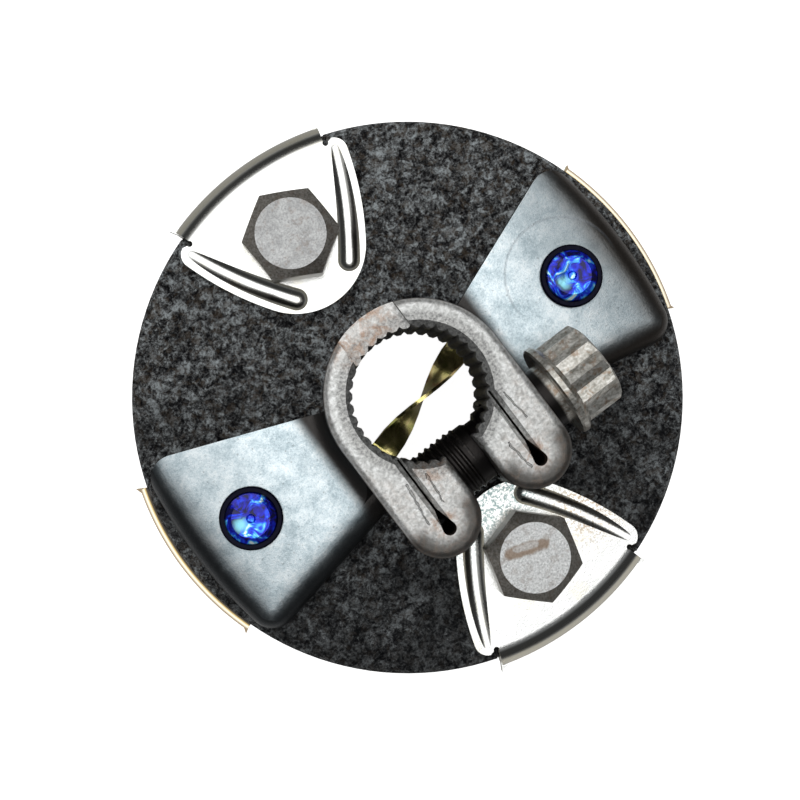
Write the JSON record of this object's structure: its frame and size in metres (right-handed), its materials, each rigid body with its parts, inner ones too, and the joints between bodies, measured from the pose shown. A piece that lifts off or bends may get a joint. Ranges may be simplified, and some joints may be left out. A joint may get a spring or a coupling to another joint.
{
  "type": "flexible-disc shaft coupling",
  "caption": "Flexible-disc steering shaft coupling: fabric disc, splined split clamp hub on two riveted arms, hex column bolts and stop pins.",
  "frame": {"origin": "on the clamp bore's axis, in the disc's rear face, midway between the two column bolts", "axes": "+Z along the bore axis towards the hub's open front end, +X towards the right stop pin, +Y towards the upper column bolt (the clamp's split and ears point to -Y)"},
  "size_m": [0.0856, 0.0856, 0.0487],
  "materials": {
    "rubber_fabric": "matte",
    "hub_steel": "satin",
    "bolt_steel": "satin",
    "plain_steel": "satin",
    "pin_steel_blue": "gloss",
    "bright_zinc": "gloss",
    "gold_zinc": "gloss"
  },
  "bodies": {
    "column_side": {"front_plate_upper": "bright_zinc", "front_plate_lower": "bright_zinc", "column_bolt_upper": "bolt_steel", "column_bolt_lower": "bolt_steel", "bolt_sleeve_upper": "plain_steel", "bolt_sleeve_lower": "plain_steel", "lock_washer_upper": "plain_steel", "lock_washer_lower": "plain_steel", "column_nut_upper": "plain_steel", "column_nut_lower": "plain_steel"},
    "disc": {"flex_disc": "rubber_fabric"},
    "hub_side": {"clamp_hub": "hub_steel", "stop_pin_left": "pin_steel_blue", "stop_pin_right": "pin_steel_blue", "pin_sleeve_left": "plain_steel", "pin_sleeve_right": "plain_steel", "rear_plate_left": "gold_zinc", "rear_plate_right": "gold_zinc", "ground_strap": "gold_zinc"},
    "pinch_bolt": {"pinch_bolt": "bolt_steel"}
  },
  "joints": [
    {"name": "column_tilt", "type": "hinge", "parent": "column_side", "child": "disc", "pos_m": [0, 0, 0.00475], "axis": [0, 1, 0], "range_deg": [-3, 3], "stiffness_Nm_per_rad": 40, "deforming": ["flex_disc"]},
    {"name": "hub_tilt", "type": "hinge", "parent": "disc", "child": "hub_side", "pos_m": [0, 0, 0.00475], "axis": [1, 0, 0], "range_deg": [-3, 3], "stiffness_Nm_per_rad": 40, "deforming": ["flex_disc"]},
    {"name": "pinch_bolt_turn", "type": "hinge", "parent": "hub_side", "child": "pinch_bolt", "pos_m": [0, -0.0114, 0.02165], "axis": [1, 0, 0], "range_deg": [-900, 1620]}
  ]
}
